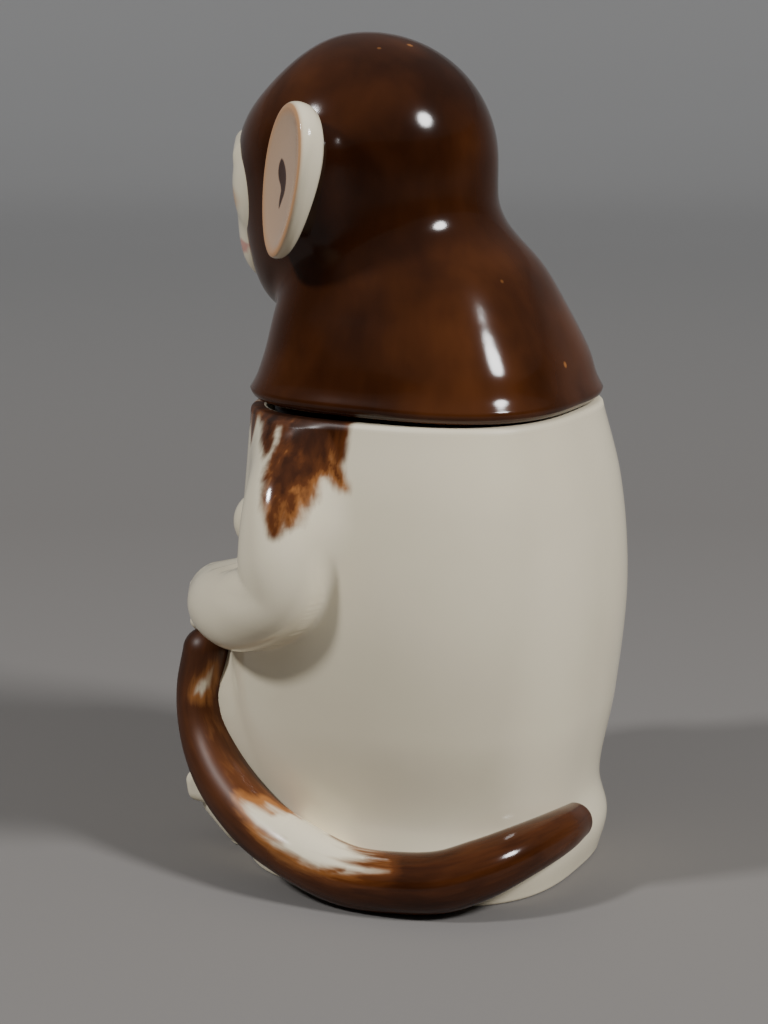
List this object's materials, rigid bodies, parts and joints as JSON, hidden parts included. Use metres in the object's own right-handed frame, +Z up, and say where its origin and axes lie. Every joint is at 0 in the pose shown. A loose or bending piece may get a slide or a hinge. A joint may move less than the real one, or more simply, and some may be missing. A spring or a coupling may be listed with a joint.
{
  "type": "figural tobacco jar",
  "caption": "Glazed porcelain tobacco jar shaped as a seated monkey: white body as the jar, brown head and shoulder cape lifting off as its lid, tail curled round the base.",
  "frame": {"origin": "on the surface the jar stands on, under the middle of the whole piece's footprint", "axes": "+Z up, the monkey faces -Y, its left side is +X"},
  "size_m": [0.1162, 0.1078, 0.2052],
  "materials": {
    "white_glaze": "glossy clear glaze over white porcelain",
    "brown_glaze": "glossy dark brown glaze with redder brush marks",
    "ear_glaze": "glossy glaze, pale flesh inside and white round the edge"
  },
  "bodies": {
    "jar": {"jar_body": "white_glaze", "tail": "brown_glaze", "left_arm": "white_glaze", "right_arm": "white_glaze", "left_leg": "white_glaze", "right_leg": "white_glaze", "left_foot": "white_glaze", "right_foot": "white_glaze"},
    "lid": {"lid_cape": "brown_glaze", "lid_collar": "white_glaze", "head": "brown_glaze", "face": "white_glaze", "muzzle": "white_glaze", "left_ear": "ear_glaze", "right_ear": "ear_glaze"}
  },
  "joints": [
    {"name": "lid_lift", "type": "slide", "parent": "jar", "child": "lid", "axis": [0, 0, 1], "range_m": [0, 0.12]}
  ]
}
